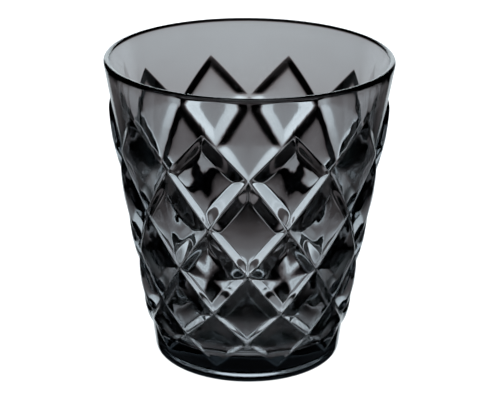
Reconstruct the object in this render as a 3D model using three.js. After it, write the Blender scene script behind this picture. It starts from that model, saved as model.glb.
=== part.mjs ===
// A whiskey tumbler pressed in one piece from smoked glass: a tapered cup with five rows of raised diamond
// pillows round its outer wall, a plain band under the rim, a plain band at the foot and a thick base.
// Millimetres, +Z up. The origin is the centre of the foot, in the plane that the foot ring stands on.
import * as THREE from "three";

// Driving dimensions.
const RIM_RADIUS = 43;
const HEIGHT = 93.5;
const LIP_THICKNESS = 1.9;
const LIP_RISE = 1.2; // height of the lip's elliptical rounding
const GROOVE_TAPER = 0.164; // radius that the bottoms of the grooves lose for each millimetre below the lip
const INNER_TAPER = 0.177; // the same for the inside wall, so the wall thickens towards the base
const FLOOR_THICKNESS = 7.5; // solid glass under the inside floor
const FLOOR_CORNER_RADIUS = 4;

// The foot: a short plain band with a small rounded edge, standing on a ring round a shallow recess.
const FOOT_RADIUS = 28.8;
const FOOT_TAPER = 0.115;
const FOOT_EDGE_RADIUS = 0.5;
const FOOT_RING_WIDTH = 5.4;
const RECESS_DEPTH = 0.9;
const RECESS_SLOPE_WIDTH = 2.2;

// The pillow lattice. Grooves cross at alternate lattice steps round the wall, on each level down it.
const PILLOWS_AROUND = 10;
const STEPS_AROUND = 2 * PILLOWS_AROUND;
const PLAIN_BAND = 11.2; // from the rim down to the upper tips of the first row
const LEVEL_PITCHES = [13.8, 16.6, 15.2, 13.6, 9.8, 9.8]; // heights between the levels, from the top down
const FIRST_ROW = 1; // rows are counted by the level that their centres lie on
const LAST_ROW = 5;
const PILLOW_HEIGHT = 2.1;
const BEVEL_RISE = 4.85; // height that the flat bevels would reach if they met at a pillow's centre
const CROWN_DROP = 1.0; // height that the domed face loses from its centre to the middle of a pillow's side
const CROWN_SQUARENESS = 6; // 2 makes the dome's contours round, higher numbers follow the pillow's outline

// Mesh fineness.
const CUTS_PER_STEP = 3;
const COLUMNS = STEPS_AROUND * CUTS_PER_STEP;
const LIP_SEGMENTS = 8;
const CORNER_SEGMENTS = 4;
const EDGE_SEGMENTS = 2;
const PLAIN_BAND_ROWS = 2;
const INNER_WALL_ROWS = 8;

const LIP_HALF = LIP_THICKNESS / 2;
const LIP_CENTRE_RADIUS = RIM_RADIUS - LIP_HALF;
const LIP_CENTRE_Z = HEIGHT - LIP_RISE;
const QUARTER_TURN = Math.PI / 2;
const LEVEL_COUNT = LEVEL_PITCHES.length;

// Depths of the levels below the rim, in millimetres.
const levelDepths = [PLAIN_BAND];
for (const pitch of LEVEL_PITCHES) {
  levelDepths.push(levelDepths.at(-1) + pitch);
}

function heightAtLevel(level) {
  const above = Math.min(Math.floor(level), LEVEL_COUNT - 1);
  const depth = THREE.MathUtils.lerp(levelDepths[above], levelDepths[above + 1], level - above);
  return HEIGHT - depth;
}

// How far from the lip's centre line a wall of this taper touches the lip's rounding.
function lipReach(taper) {
  return Math.hypot(LIP_HALF, taper * LIP_RISE);
}

function grooveRadius(z) {
  return LIP_CENTRE_RADIUS + lipReach(GROOVE_TAPER) - GROOVE_TAPER * (LIP_CENTRE_Z - z);
}

function footBandRadius(z) {
  return FOOT_RADIUS + FOOT_TAPER * z;
}

function innerRadius(z) {
  return LIP_CENTRE_RADIUS - lipReach(INNER_TAPER) - INNER_TAPER * (LIP_CENTRE_Z - z);
}

// Where a point lies across its pillow: p and q run along the two diagonals of the lattice, from -1 on one
// groove, through 0 at the centre, to 1 on the opposite groove. row is the level of the pillow's centre.
function placeInPillow(step, level) {
  const p = THREE.MathUtils.euclideanModulo(step + level - 1, 2) - 1;
  const q = THREE.MathUtils.euclideanModulo(step - level - 1, 2) - 1;
  const row = level - (p - q) / 2;
  return { p, q, row };
}

// How far the surface stands out from the grooves: a flat bevel along each groove, then a domed face.
function pillowHeight(step, level) {
  const { p, q, row } = placeInPillow(step, level);
  if (row < FIRST_ROW - 0.5 || row > LAST_ROW + 0.5) {
    return 0;
  }
  const fromGroove = 1 - Math.max(Math.abs(p), Math.abs(q));
  const power = Math.abs(p) ** CROWN_SQUARENESS + Math.abs(q) ** CROWN_SQUARENESS;
  const crown = PILLOW_HEIGHT - CROWN_DROP * power ** (2 / CROWN_SQUARENESS);
  return Math.max(Math.min(BEVEL_RISE * fromGroove, crown), 0);
}

function wallRadius(step, level) {
  const z = heightAtLevel(level);
  return Math.max(grooveRadius(z) + pillowHeight(step, level), footBandRadius(z));
}

// Points of an arc from one angle to another, both ends included, as profile points {r, z}.
function arc(centreR, centreZ, radius, from, to, segments) {
  const points = [];
  for (let i = 0; i <= segments; i++) {
    const angle = THREE.MathUtils.lerp(from, to, i / segments);
    points.push({ r: centreR + radius * Math.cos(angle), z: centreZ + radius * Math.sin(angle) });
  }
  return points;
}

// The underside, from the axis out to the top of the rounded foot edge.
function footProfile() {
  const ringOuter = FOOT_RADIUS - FOOT_EDGE_RADIUS;
  const ringInner = ringOuter - FOOT_RING_WIDTH;
  const recess = [
    { r: 0, z: RECESS_DEPTH },
    { r: (ringInner - RECESS_SLOPE_WIDTH) / 2, z: RECESS_DEPTH },
    { r: ringInner - RECESS_SLOPE_WIDTH, z: RECESS_DEPTH },
    { r: ringInner, z: 0 },
  ];
  const edge = arc(ringOuter, FOOT_EDGE_RADIUS, FOOT_EDGE_RADIUS, -QUARTER_TURN, 0, EDGE_SEGMENTS);
  return [...recess, ...edge];
}

// The outer wall, from just above the foot edge up to the upper tips of the first row. Each point carries
// its level, which places it in the pillow lattice.
function wallProfile() {
  const points = [];
  for (let cut = LEVEL_COUNT * CUTS_PER_STEP; cut >= 0; cut--) {
    const level = cut / CUTS_PER_STEP;
    points.push({ level, z: heightAtLevel(level) });
  }
  return points;
}

// The lip's rounding, an ellipse that runs on from the outer wall over the top and into the inside wall.
function lipProfile() {
  const from = -Math.atan2(GROOVE_TAPER * LIP_RISE, LIP_HALF);
  const to = Math.PI - Math.atan2(INNER_TAPER * LIP_RISE, LIP_HALF);
  const unit = arc(0, 0, 1, from, to, LIP_SEGMENTS);
  return unit.map(({ r, z }) => ({ r: LIP_CENTRE_RADIUS + LIP_HALF * r, z: LIP_CENTRE_Z + LIP_RISE * z }));
}

// The plain band, the lip, the inside wall and the inside floor, ending on the axis.
function rimAndInsideProfile() {
  const points = [];
  const lip = lipProfile();
  for (let i = 1; i < PLAIN_BAND_ROWS; i++) {
    const z = THREE.MathUtils.lerp(HEIGHT - PLAIN_BAND, lip[0].z, i / PLAIN_BAND_ROWS);
    points.push({ r: grooveRadius(z), z });
  }
  points.push(...lip);
  const cornerZ = FLOOR_THICKNESS + FLOOR_CORNER_RADIUS;
  for (let i = 1; i < INNER_WALL_ROWS; i++) {
    const z = THREE.MathUtils.lerp(lip.at(-1).z, cornerZ, i / INNER_WALL_ROWS);
    points.push({ r: innerRadius(z), z });
  }
  const cornerR = innerRadius(cornerZ) - FLOOR_CORNER_RADIUS;
  points.push(...arc(cornerR, cornerZ, FLOOR_CORNER_RADIUS, 0, -QUARTER_TURN, CORNER_SEGMENTS));
  points.push({ r: cornerR / 2, z: FLOOR_THICKNESS });
  points.push({ r: 0, z: FLOOR_THICKNESS });
  return points;
}

// In the lattice, each four-sided patch is split along the direction of the groove nearest to it, so that
// the grooves and the bevels' upper edges lie on mesh edges.
function splitsTowardsNextColumn(column, lower, upper) {
  if (lower.level === undefined || upper.level === undefined) {
    return false;
  }
  const { p, q } = placeInPillow((column + 0.5) / CUTS_PER_STEP, (lower.level + upper.level) / 2);
  return Math.abs(p) > Math.abs(q);
}

// Turns the profile about the axis, then moves the wall's points out to the pillows' surface.
function turnedGeometry(profile) {
  const outline = profile.map(({ r, z }) => new THREE.Vector2(r ?? grooveRadius(z), z));
  const geometry = new THREE.LatheGeometry(outline, COLUMNS);
  geometry.rotateX(QUARTER_TURN);
  const rows = profile.length;
  const position = geometry.getAttribute("position");
  for (let column = 0; column <= COLUMNS; column++) {
    const angle = (column / COLUMNS) * 2 * Math.PI;
    for (let row = 0; row < rows; row++) {
      const { level } = profile[row];
      if (level !== undefined) {
        const radius = wallRadius(column / CUTS_PER_STEP, level);
        position.setXY(column * rows + row, radius * Math.sin(angle), -radius * Math.cos(angle));
      }
    }
  }
  const index = [];
  for (let column = 0; column < COLUMNS; column++) {
    for (let row = 0; row < rows - 1; row++) {
      const low = column * rows + row;
      const lowNext = low + rows;
      if (splitsTowardsNextColumn(column, profile[row], profile[row + 1])) {
        index.push(low, lowNext, lowNext + 1, low, lowNext + 1, low + 1);
      } else {
        index.push(low, lowNext, low + 1, lowNext, lowNext + 1, low + 1);
      }
    }
  }
  geometry.setIndex(index);
  geometry.computeVertexNormals();
  return geometry;
}

function smokedGlass() {
  return new THREE.MeshStandardMaterial({
    name: "smoked_glass",
    color: 0x33363a,
    roughness: 0.04,
    metalness: 0,
    transparent: true,
    opacity: 0.55,
  });
}

function tumbler() {
  const profile = [...footProfile(), ...wallProfile(), ...rimAndInsideProfile()];
  const mesh = new THREE.Mesh(turnedGeometry(profile), smokedGlass());
  mesh.name = "tumbler";
  return mesh;
}

const whiskeyTumbler = new THREE.Group();
whiskeyTumbler.name = "whiskey_tumbler";
whiskeyTumbler.add(tumbler());

export default whiskeyTumbler;
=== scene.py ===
"""Looks of a whiskey tumbler pressed from smoked glass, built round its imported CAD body."""

from math import atan2, cos, pi, radians, sin

import bmesh
import bpy
import numpy as np
from mathutils import Matrix, Vector


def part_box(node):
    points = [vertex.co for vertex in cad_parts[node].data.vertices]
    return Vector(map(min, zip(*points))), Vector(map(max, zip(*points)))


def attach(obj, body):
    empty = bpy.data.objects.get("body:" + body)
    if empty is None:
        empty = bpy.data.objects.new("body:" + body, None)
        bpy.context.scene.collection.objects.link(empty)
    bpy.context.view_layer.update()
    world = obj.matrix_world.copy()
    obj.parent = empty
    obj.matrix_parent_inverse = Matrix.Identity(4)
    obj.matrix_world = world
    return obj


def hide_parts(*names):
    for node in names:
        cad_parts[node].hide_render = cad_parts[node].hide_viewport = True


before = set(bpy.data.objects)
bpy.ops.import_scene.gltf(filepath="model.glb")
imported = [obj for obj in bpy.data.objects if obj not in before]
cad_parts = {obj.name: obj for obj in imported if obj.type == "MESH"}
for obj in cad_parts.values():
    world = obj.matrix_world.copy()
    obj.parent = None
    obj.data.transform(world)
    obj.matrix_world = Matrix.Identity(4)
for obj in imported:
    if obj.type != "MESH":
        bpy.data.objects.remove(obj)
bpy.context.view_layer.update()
box_low, box_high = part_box("tumbler")

MM = 0.001  # metres in a millimetre; the shape below is worked out in millimetres

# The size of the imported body.
RIM_RADIUS = (box_high.x - box_low.x) / 2 / MM
HEIGHT = (box_high.z - box_low.z) / MM

# The pillow lattice on the outer wall. Grooves cross at every second lattice step round the wall, on each
# level down it.
PILLOWS_AROUND = 10
STEPS_AROUND = 2 * PILLOWS_AROUND
PLAIN_BAND = 11.2  # from the rim down to the first level
LEVEL_PITCHES = (13.8, 16.6, 15.2, 13.6, 9.8, 9.8)  # heights between the levels, from the top down
LEVEL_DEPTHS = np.concatenate([[PLAIN_BAND], PLAIN_BAND + np.cumsum(LEVEL_PITCHES)])
LAST_LEVEL = len(LEVEL_PITCHES)
FIRST_ROW = 1  # rows are counted by the level that their centres lie on
LAST_ROW = 5
GROOVE_TAPER = 0.164  # radius that the grooves lose for each millimetre below the lip
PILLOW_HEIGHT = 2.1
BEVEL_RISE = 4.85  # height that the flat bevels would reach if they met at a pillow's centre
CROWN_DROP = 1.0  # height that the domed face loses from its centre to the middle of a pillow's side
CROWN_SQUARENESS = 6  # 2 makes the dome's contours round, higher numbers follow the pillow's outline

# How softly the surfaces run into each other.
CROWN_EDGE = 0.12  # between the bevels and the domed face, as height
CORNER_EDGE = 0.04  # between neighbouring bevels, as a share of the way from a pillow's centre to its groove
GROOVE_FILLET = 0.15
FOOT_BLEND = 0.15

# The lip, the inside and the foot.
LIP_THICKNESS = 1.9
LIP_RISE = 1.2  # height of the lip's elliptical rounding
LIP_CENTRE_RADIUS = RIM_RADIUS - LIP_THICKNESS / 2
LIP_CENTRE_Z = HEIGHT - LIP_RISE
INNER_TAPER = 0.177
FLOOR_THICKNESS = 7.5  # solid glass under the inside floor
FLOOR_CORNER_RADIUS = 4
FOOT_RADIUS = 28.8
FOOT_TAPER = 0.115
FOOT_EDGE_RADIUS = 0.5
FOOT_EDGE_GAP = 0.2  # from the lowest mesh line of the foot band down to its rounded edge
FOOT_RING_WIDTH = 5.4
RECESS_DEPTH = 0.9
RECESS_SLOPE_WIDTH = 2.2

# Mesh fineness. Across half a pillow, from its centre to the groove, the mesh lines are closer together where
# the bevels meet the domed face, and again at the groove: each stretch has a start, an end and its strips.
HALF_PILLOW_STRETCHES = ((0.0, 0.5, 4), (0.5, 0.8, 7), (0.8, 0.95, 2), (0.95, 1.0, 3))
PLAIN_BAND_ROWS = 7
LIP_SEGMENTS = 24
INNER_WALL_ROWS = 25
FLOOR_CORNER_SEGMENTS = 10
FLOOR_RINGS = 7
FOOT_BAND_ROWS = 3
FOOT_EDGE_SEGMENTS = 8
RECESS_SLOPE_ROWS = 8
RECESS_RINGS = 7
MERGE_DISTANCE = 0.0002
ROUNDING_ERROR = 1e-9  # in lattice levels

# The glass. Smudges and waves are noise that is fixed to it, with scales in features per metre.
GLASS_IOR = 1.5
BODY_COLOUR = (0.18, 0.22, 0.25, 1)
BODY_DENSITY = 100  # absorption per metre
SMUDGE_SCALE = 45
SMUDGE_DETAIL = 4
SMUDGE_ROUGHNESS = 0.012
ROUGHNESS_NOISE = (0.45, 0.8)  # noise levels over which the roughness rises from none
TINT_NOISE = (0.3, 0.75)  # noise levels over which the colour goes from clean to smudged
CLEAN_TINT = (0.985, 0.99, 1.0, 1)
SMUDGED_TINT = (0.95, 0.945, 0.95, 1)
WAVE_SCALE = 110
WAVE_DETAIL = 1
WAVE_STRENGTH = 0.25
WAVE_HEIGHT = 0.2

# The stage that the glass stands on: a plain pale floor, seen only directly and lit mostly by its own glow.
STAGE_SIZE = 40  # from the middle to an edge, in rim radii
STAGE_GAP = 0.2  # below the foot ring
STAGE_COLOUR = (0.5, 0.5, 0.5, 1)
STAGE_ROUGHNESS = 0.9
STAGE_GLOW = 0.95
WHITE = (1, 1, 1, 1)

# The camera, where the photographer stood. The distance and the target are in rim radii.
CAMERA_DISTANCE = 10.69
CAMERA_ELEVATION = radians(21.77)
CAMERA_ROLL = radians(0.52)
TARGET_SIDE = 0.0115
TARGET_BELOW_RIM = 1.0723
LENS = 108.1
SENSOR_WIDTH = 36
NEAREST = 0.01  # clip distances, in metres
FARTHEST = 100

# Brightness of the studio, as pairs of degrees and level, by elevation and by azimuth from straight behind.
# The glass lets through one studio, and shows two more in the reflections inside it and off its surface.
ELEVATION_SPAN = (-90, 90)
AZIMUTH_SPAN = (0, 180)
THROUGH_BY_ELEVATION = ((-90, 0.4), (-65, 0.05), (-50, 0.0), (-29, 0.0), (-27, 0.03), (-24, 0.12),
                        (-21, 0.27), (-19, 0.41), (-16, 0.50), (-13, 0.95), (-10, 1.3), (-5, 1.2),
                        (20, 1.4), (27, 0.0), (42, 0.0), (50, 1.2), (60, 2.3))
THROUGH_BY_AZIMUTH = ((0, 1.0), (42, 1.0), (54, 0.08), (78, 0.08), (90, 0.9), (180, 0.9))
INSIDE_BEHIND_BY_ELEVATION = ((-90, 0.5), (-62, 0.2), (-45, 0.0), (-27, 0.0), (-21, 0.22), (-16, 0.48),
                              (-12, 1.1), (8, 1.6), (20, 2.0), (28, 0.0), (42, 0.0), (50, 1.2), (60, 2.3))
INSIDE_FRONT_BY_ELEVATION = ((-90, 0.5), (-60, 0.3), (-48, 0.0), (-31, 0.0), (-27, 0.6), (-23, 0.3),
                             (-18, 0.0), (40, 0.0), (60, 2.0))
BEHIND_BY_AZIMUTH = ((0, 1.0), (45, 1.0), (75, 0.1), (110, 0.0))
FRONT_BY_AZIMUTH = ((60, 0.0), (110, 1.0))
SURFACE_BY_ELEVATION = ((-90, 0.8), (-6, 0.8), (8, 2.0), (22, 2.4), (34, 0.0))
SURFACE_BY_AZIMUTH = ((0, 1.0), (22, 1.0), (30, 0.0))

# The studio is warm where it is dim and cool where it is bright, between these two levels.
DIM_LEVEL = 0.1
BRIGHT_LEVEL = 0.6
DIM_TINT = np.array((1.06, 0.93, 0.94))
BRIGHT_TINT = np.array((0.90, 1.0, 1.05))

# How often a ray may bounce in all, and how often it may be reflected.
MOST_BOUNCES = 24
MOST_REFLECTIONS = 16


def smooth_min(a, b, softness):
    """The lower of a and b, with the corner between them rounded over about softness."""
    return (a + b - np.sqrt((a - b) ** 2 + softness ** 2)) / 2


def smooth_max(a, b, softness):
    """The higher of a and b, rounded in the same way."""
    return -smooth_min(-a, -b, softness)


def lip_reach(taper):
    """How far from the lip's centre line a wall of this taper touches the lip's elliptical rounding."""
    return np.hypot(LIP_THICKNESS / 2, taper * LIP_RISE)


def groove_radius(z):
    """Radius of the outer wall at the bottoms of the grooves, and of the plain band."""
    return LIP_CENTRE_RADIUS + lip_reach(GROOVE_TAPER) - GROOVE_TAPER * (LIP_CENTRE_Z - z)


def foot_band_radius(z):
    """Radius of the plain band at the foot."""
    return FOOT_RADIUS + FOOT_TAPER * z


def inner_radius(z):
    """Radius of the inside wall."""
    return LIP_CENTRE_RADIUS - lip_reach(INNER_TAPER) - INNER_TAPER * (LIP_CENTRE_Z - z)


def height_at(level):
    """Height of a lattice level above the foot ring."""
    return HEIGHT - np.interp(level, np.arange(LAST_LEVEL + 1), LEVEL_DEPTHS)


def pillow_height(p, q):
    """How far a pillow stands out at p and q, which run from -1 to 1 across it between its grooves."""
    from_groove = 1 - smooth_max(np.abs(p), np.abs(q), CORNER_EDGE)
    bevel = BEVEL_RISE * from_groove
    spread = (np.abs(p) ** CROWN_SQUARENESS + np.abs(q) ** CROWN_SQUARENESS) ** (2 / CROWN_SQUARENESS)
    crown = PILLOW_HEIGHT - CROWN_DROP * spread
    height = np.maximum(smooth_min(bevel, crown, CROWN_EDGE), 0)
    return np.sqrt(height ** 2 + GROOVE_FILLET ** 2) - GROOVE_FILLET


def points_at(step, radius, z):
    """Points at lattice steps round the axis, counted from the front."""
    angle = step / STEPS_AROUND * 2 * pi
    x = radius * np.sin(angle)
    y = -radius * np.cos(angle)
    return np.stack([x, y, np.broadcast_to(z, x.shape)], axis=-1)


def wall_points(step, level, pillow):
    """Points of the outer wall at lattice places, standing out by the height given."""
    z = height_at(level)
    radius = smooth_max(groove_radius(z) + pillow, foot_band_radius(z), FOOT_BLEND)
    return points_at(step, radius, z)


def quad_corners(grid):
    """What a grid holds at the four corners of each of its quads, in turn."""
    return np.stack([grid[:-1, :-1], grid[:-1, 1:], grid[1:, 1:], grid[1:, :-1]], axis=-1)


class Shell:
    """Collects patches of points and faces, and joins them into one mesh."""

    def __init__(self):
        self.points = []
        self.faces = []
        self.count = 0

    def add_grid(self, grid, keep=None):
        """Adds a grid of points, rows by columns. keep says which of its quads there are."""
        rows, columns = grid.shape[:2]
        number = self.count + np.arange(rows * columns).reshape(rows, columns)
        quads = quad_corners(number)
        if keep is not None:
            quads = quads[keep]
        self.points.append(grid.reshape(-1, 3))
        self.faces.extend(quads.reshape(-1, 4).tolist())
        self.count += rows * columns

    def add_triangles(self, triangles):
        """Adds loose triangles, given as an array of corners."""
        number = self.count + np.arange(len(triangles) * 3).reshape(-1, 3)
        self.points.append(triangles.reshape(-1, 3))
        self.faces.extend(number.tolist())
        self.count += len(triangles) * 3

    def mesh(self, name):
        """One smooth mesh in metres, with points that are closer than the merge distance made one."""
        mesh = bpy.data.meshes.new(name)
        mesh.from_pydata((np.concatenate(self.points) * MM).tolist(), [], self.faces)
        work = bmesh.new()
        work.from_mesh(mesh)
        bmesh.ops.remove_doubles(work, verts=work.verts, dist=MERGE_DISTANCE * MM)
        loose = [v for v in work.verts if not v.link_faces]
        bmesh.ops.delete(work, geom=loose, context="VERTS")
        bmesh.ops.recalc_face_normals(work, faces=work.faces)
        for face in work.faces:
            face.smooth = True
        work.to_mesh(mesh)
        work.free()
        return mesh


def lines_across_pillow():
    """Places of the mesh lines from one groove, at -1, through the pillow's centre to the other, at 1."""
    half = []
    for start, end, strips in HALF_PILLOW_STRETCHES:
        half.extend(np.linspace(start, end, strips, endpoint=False))
    half = np.array([*half, 1.0])
    return np.concatenate([-half[:0:-1], half])


ACROSS = lines_across_pillow()


def pillow_patch(centre_step, row):
    """The grid of one diamond between its four grooves, and the level of each of its points."""
    p, q = np.meshgrid(ACROSS, ACROSS, indexing="ij")
    step = centre_step + (p + q) / 2
    level = row + (p - q) / 2
    raised = FIRST_ROW <= row <= LAST_ROW
    height = pillow_height(p, q) if raised else np.zeros_like(p)
    return wall_points(step, np.clip(level, 0, LAST_LEVEL), height), level


def add_half_patch(shell, grid, level, row):
    """The half of a diamond on the lattice's side of its straight edge."""
    side = 1 if row == 0 else -1
    inside = quad_corners(side * (level - row))
    whole = (inside > -ROUNDING_ERROR).all(axis=-1)
    shell.add_grid(grid, whole)
    triangles = []
    for i in range(len(ACROSS) - 1):
        # The straight edge runs along the quads where p equals q.
        if side > 0:
            triangles.append([grid[i, i], grid[i + 1, i], grid[i + 1, i + 1]])
        else:
            triangles.append([grid[i, i], grid[i + 1, i + 1], grid[i, i + 1]])
    shell.add_triangles(np.array(triangles))


def add_lattice(shell):
    """All rows of diamonds, with the half diamonds above the first row and below the last."""
    for row in range(LAST_LEVEL + 1):
        for pillow in range(PILLOWS_AROUND):
            grid, level = pillow_patch(2 * pillow + row % 2, row)
            if row in (0, LAST_LEVEL):
                add_half_patch(shell, grid, level, row)
            else:
                shell.add_grid(grid)


def steps_to(start, end, count):
    """Evenly spaced values from one step past the start up to the end."""
    return np.linspace(start, end, count + 1)[1:]


def arc(centre_r, centre_z, radius, start, end, count):
    """Profile points of an arc from one angle to another, both ends included."""
    angle = np.linspace(start, end, count + 1)
    return list(zip(centre_r + radius * np.cos(angle), centre_z + radius * np.sin(angle)))


def ease(a, b, count):
    """Points of a smooth S between two profile points, without its ends."""
    share = np.linspace(0, 1, count + 1)[1:-1]
    blend = share * share * (3 - 2 * share)
    return [(a[0] + (b[0] - a[0]) * s, a[1] + (b[1] - a[1]) * t) for s, t in zip(share, blend)]


def lip_profile():
    """The rounding of the lip, an ellipse that runs on from the outer wall and into the inner one."""
    half = LIP_THICKNESS / 2
    outer = -atan2(GROOVE_TAPER * LIP_RISE, half)
    inner = pi - atan2(INNER_TAPER * LIP_RISE, half)
    angle = np.linspace(outer, inner, LIP_SEGMENTS + 1)
    return list(zip(LIP_CENTRE_RADIUS + half * np.cos(angle), LIP_CENTRE_Z + LIP_RISE * np.sin(angle)))


def upper_profile():
    """From the lattice's top edge over the lip and down the inside to the axis."""
    lip = lip_profile()
    band = np.linspace(HEIGHT - PLAIN_BAND, lip[0][1], PLAIN_BAND_ROWS, endpoint=False)
    corner_z = FLOOR_THICKNESS + FLOOR_CORNER_RADIUS
    corner_r = inner_radius(corner_z) - FLOOR_CORNER_RADIUS
    points = [(groove_radius(z), z) for z in band]
    points += lip
    points += [(inner_radius(z), z) for z in steps_to(lip[-1][1], corner_z, INNER_WALL_ROWS)]
    points += arc(corner_r, corner_z, FLOOR_CORNER_RADIUS, 0, -pi / 2, FLOOR_CORNER_SEGMENTS)[1:]
    points += [(r, FLOOR_THICKNESS) for r in steps_to(corner_r, 0, FLOOR_RINGS)]
    return points


def lower_profile():
    """From the lattice's bottom edge down the foot and under it to the axis."""
    band = np.linspace(height_at(LAST_LEVEL), FOOT_EDGE_RADIUS + FOOT_EDGE_GAP, FOOT_BAND_ROWS + 1)
    ring_outer = FOOT_RADIUS - FOOT_EDGE_RADIUS
    ring_inner = ring_outer - FOOT_RING_WIDTH
    slope_start = (ring_inner, 0)
    slope_end = (ring_inner - RECESS_SLOPE_WIDTH, RECESS_DEPTH)
    points = [(foot_band_radius(z), z) for z in band]
    points += arc(ring_outer, FOOT_EDGE_RADIUS, FOOT_EDGE_RADIUS, 0, -pi / 2, FOOT_EDGE_SEGMENTS)
    points += [slope_start, *ease(slope_start, slope_end, RECESS_SLOPE_ROWS), slope_end]
    points += [(r, RECESS_DEPTH) for r in steps_to(slope_end[0], 0, RECESS_RINGS)]
    return points


def add_turned(shell, profile):
    """Turns a profile about the axis, on the mesh lines of the lattice's straight edges.

    The wall's blend into the foot band moves those edges out by 0.007 mm at the foot and 0.002 mm at the
    plain band. That is more than the merge distance, so a hairline seam stays open at each of them.
    """
    step = np.concatenate([2 * pillow + ACROSS[:-1] for pillow in range(PILLOWS_AROUND)])
    step = np.append(step, step[0] + STEPS_AROUND)
    radius, z = np.array(profile).T[:, :, None]
    shell.add_grid(points_at(step, radius, z))


def add_node(tree, kind, inputs=None):
    """A new node, with values for the inputs that are given by name or number."""
    node = tree.nodes.new(kind)
    for socket, value in (inputs or {}).items():
        node.inputs[socket].default_value = value
    return node


def add_smudges(tree, place, surface):
    """Faint smudges, which dull the polish and the colour of a surface a little."""
    noise = add_node(tree, "ShaderNodeTexNoise", {"Scale": SMUDGE_SCALE, "Detail": SMUDGE_DETAIL})
    tree.links.new(place, noise.inputs["Vector"])
    roughness = add_node(tree, "ShaderNodeMapRange", {
        "From Min": ROUGHNESS_NOISE[0],
        "From Max": ROUGHNESS_NOISE[1],
        "To Max": SMUDGE_ROUGHNESS,
    })
    tree.links.new(noise.outputs["Fac"], roughness.inputs["Value"])
    tree.links.new(roughness.outputs["Result"], surface.inputs["Roughness"])
    tint = add_node(tree, "ShaderNodeValToRGB")
    for element, level, colour in zip(tint.color_ramp.elements, TINT_NOISE, (CLEAN_TINT, SMUDGED_TINT)):
        element.position = level
        element.color = colour
    tree.links.new(noise.outputs["Fac"], tint.inputs["Fac"])
    tree.links.new(tint.outputs["Color"], surface.inputs["Base Color"])


def add_waves(tree, place, surface):
    """The slight waviness of pressed glass."""
    noise = add_node(tree, "ShaderNodeTexNoise", {"Scale": WAVE_SCALE, "Detail": WAVE_DETAIL})
    tree.links.new(place, noise.inputs["Vector"])
    bump = add_node(tree, "ShaderNodeBump", {"Strength": WAVE_STRENGTH, "Distance": WAVE_HEIGHT * MM})
    tree.links.new(noise.outputs["Fac"], bump.inputs["Height"])
    tree.links.new(bump.outputs["Normal"], surface.inputs["Normal"])


def smoked_glass():
    """Clear glass surface over a grey absorbing body, with pressed-glass waviness and faint smudges."""
    material = bpy.data.materials.new("smoked_glass")
    material.use_nodes = True
    tree = material.node_tree
    surface = tree.nodes["Principled BSDF"]
    surface.inputs["Transmission Weight"].default_value = 1.0
    surface.inputs["IOR"].default_value = GLASS_IOR
    place = add_node(tree, "ShaderNodeTexCoord").outputs["Object"]
    add_smudges(tree, place, surface)
    add_waves(tree, place, surface)
    body = add_node(tree, "ShaderNodeVolumeAbsorption", {"Color": BODY_COLOUR, "Density": BODY_DENSITY})
    tree.links.new(body.outputs["Volume"], tree.nodes["Material Output"].inputs["Volume"])
    return material


def make_tumbler():
    """The glass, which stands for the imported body."""
    shell = Shell()
    add_lattice(shell)
    add_turned(shell, upper_profile())
    add_turned(shell, lower_profile())
    piece = bpy.data.objects.new("tumbler_glass", shell.mesh("tumbler_glass"))
    bpy.context.scene.collection.objects.link(piece)
    piece.data.materials.append(smoked_glass())
    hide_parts("tumbler")
    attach(piece, "root")


def floor_material():
    """A matt surface that glows almost white, so that hardly any shadow shows on it."""
    material = bpy.data.materials.new("floor")
    material.use_nodes = True
    surface = material.node_tree.nodes["Principled BSDF"]
    surface.inputs["Base Color"].default_value = STAGE_COLOUR
    surface.inputs["Roughness"].default_value = STAGE_ROUGHNESS
    surface.inputs["Emission Color"].default_value = WHITE
    surface.inputs["Emission Strength"].default_value = STAGE_GLOW
    return material


def make_floor():
    """A plain pale floor, which the glass neither refracts nor reflects."""
    edge = STAGE_SIZE * RIM_RADIUS * MM
    corners = [(x * edge, y * edge, -STAGE_GAP * MM) for x, y in ((-1, -1), (1, -1), (1, 1), (-1, 1))]
    mesh = bpy.data.meshes.new("floor")
    mesh.from_pydata(corners, [], [(0, 1, 2, 3)])
    mesh.materials.append(floor_material())
    floor = bpy.data.objects.new("floor", mesh)
    bpy.context.scene.collection.objects.link(floor)
    floor.visible_transmission = False
    floor.visible_glossy = False


def calculate(tree, operation, *values):
    """The result of a math node on the outputs given."""
    node = add_node(tree, "ShaderNodeMath")
    node.operation = operation
    for value, socket in zip(values, node.inputs):
        tree.links.new(value, socket)
    return node.outputs[0]


def ray_angles(tree):
    """Elevation of a ray, and its azimuth to either side of straight behind the glass."""
    place = add_node(tree, "ShaderNodeTexCoord")
    split = add_node(tree, "ShaderNodeSeparateXYZ")
    tree.links.new(place.outputs["Generated"], split.inputs["Vector"])
    elevation = calculate(tree, "ARCSINE", split.outputs["Z"])
    azimuth = calculate(tree, "ARCTAN2", split.outputs["X"], split.outputs["Y"])
    return elevation, calculate(tree, "ABSOLUTE", azimuth)


def studio_colour(level):
    """The tinted light of a brightness level."""
    share = np.interp(level, (DIM_LEVEL, BRIGHT_LEVEL), (0, 1))
    return level * (DIM_TINT + (BRIGHT_TINT - DIM_TINT) * share)


def plain_grey(level):
    """A brightness level without tint."""
    return (level, level, level)


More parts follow.
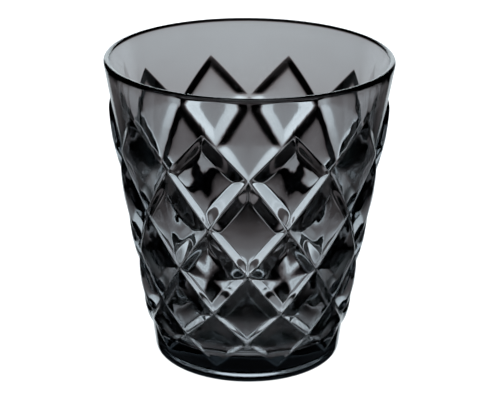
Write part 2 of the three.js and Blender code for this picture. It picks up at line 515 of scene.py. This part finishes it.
def angle_ramp(tree, angle, span, stops, colour_of):
    """Light over an angle. The span and the stops are in degrees, and colour_of makes levels colours."""
    low, high = span
    share = add_node(tree, "ShaderNodeMapRange", {"From Min": radians(low), "From Max": radians(high)})
    tree.links.new(angle, share.inputs["Value"])
    ramp = add_node(tree, "ShaderNodeValToRGB")
    ramp.color_ramp.interpolation = "EASE"
    elements = ramp.color_ramp.elements
    for _ in range(len(stops) - len(elements)):
        elements.new(0.5)  # any place will do, because all are placed below
    for element, (degrees, level) in zip(elements, stops):
        element.position = (degrees - low) / (high - low)
        element.color = (*colour_of(level), 1)
    tree.links.new(share.outputs["Result"], ramp.inputs["Fac"])
    return ramp.outputs["Color"]


def studio(tree, angles, by_elevation, by_azimuth):
    """A surrounding light whose brightness is the product of two ramps."""
    elevation, azimuth = angles
    colour = angle_ramp(tree, elevation, ELEVATION_SPAN, by_elevation, studio_colour)
    strength = angle_ramp(tree, azimuth, AZIMUTH_SPAN, by_azimuth, plain_grey)
    light = add_node(tree, "ShaderNodeBackground")
    tree.links.new(colour, light.inputs["Color"])
    tree.links.new(strength, light.inputs["Strength"])
    return light.outputs[0]


def at_least_once(tree, count):
    """1 where a ray's count is one or more, and 0 where it is none."""
    test = add_node(tree, "ShaderNodeMath", {1: 0.5})
    test.operation = "GREATER_THAN"
    tree.links.new(count, test.inputs[0])
    return test.outputs[0]


def choose(tree, test, when_not, when_so):
    """One of two lights, by a test that gives 0 or 1."""
    mix = add_node(tree, "ShaderNodeMixShader")
    for value, socket in zip((test, when_not, when_so), mix.inputs):
        tree.links.new(value, socket)
    return mix.outputs[0]


def make_world():
    """A white backdrop, and round the glass a bright band at the horizon under an overhead light."""
    world = bpy.data.worlds.new("studio")
    bpy.context.scene.world = world
    world.use_nodes = True
    tree = world.node_tree
    angles = ray_angles(tree)
    through = studio(tree, angles, THROUGH_BY_ELEVATION, THROUGH_BY_AZIMUTH)
    inside = add_node(tree, "ShaderNodeAddShader")
    tree.links.new(studio(tree, angles, INSIDE_BEHIND_BY_ELEVATION, BEHIND_BY_AZIMUTH), inside.inputs[0])
    tree.links.new(studio(tree, angles, INSIDE_FRONT_BY_ELEVATION, FRONT_BY_AZIMUTH), inside.inputs[1])
    surface = studio(tree, angles, SURFACE_BY_ELEVATION, SURFACE_BY_AZIMUTH)
    backdrop = tree.nodes["Background"]
    backdrop.inputs["Color"].default_value = WHITE
    ray = add_node(tree, "ShaderNodeLightPath")
    has_entered = at_least_once(tree, ray.outputs["Transmission Depth"])
    has_reflected = at_least_once(tree, ray.outputs["Glossy Depth"])
    reflected = choose(tree, has_entered, surface, inside.outputs[0])
    glass = choose(tree, has_reflected, through, reflected)
    seen = choose(tree, ray.outputs["Is Camera Ray"], glass, backdrop.outputs[0])
    tree.links.new(seen, tree.nodes["World Output"].inputs["Surface"])


def make_camera():
    """The camera, looking down at the glass from straight in front, with a slight roll."""
    data = bpy.data.cameras.new("camera")
    data.lens = LENS
    data.sensor_width = SENSOR_WIDTH
    data.clip_start = NEAREST
    data.clip_end = FARTHEST
    camera = bpy.data.objects.new("camera", data)
    bpy.context.scene.collection.objects.link(camera)
    target = Vector((TARGET_SIDE * RIM_RADIUS, 0, HEIGHT - TARGET_BELOW_RIM * RIM_RADIUS)) * MM
    back = Vector((0, -cos(CAMERA_ELEVATION), sin(CAMERA_ELEVATION)))
    camera.location = target + back * CAMERA_DISTANCE * RIM_RADIUS * MM
    aim = (-back).to_track_quat("-Z", "Y").to_matrix()
    camera.rotation_euler = (aim @ Matrix.Rotation(CAMERA_ROLL, 3, "Z")).to_euler()
    bpy.context.scene.camera = camera


def set_bounces_and_view(scene):
    """Lets light cross the glass many times, denoises by colour alone, and shows brightness as it is."""
    scene.view_settings.view_transform = "Standard"
    scene.cycles.denoising_input_passes = "RGB"
    scene.cycles.max_bounces = MOST_BOUNCES
    scene.cycles.glossy_bounces = MOST_REFLECTIONS
    scene.cycles.transmission_bounces = MOST_BOUNCES


make_camera()
make_tumbler()
make_floor()
make_world()
set_bounces_and_view(bpy.context.scene)
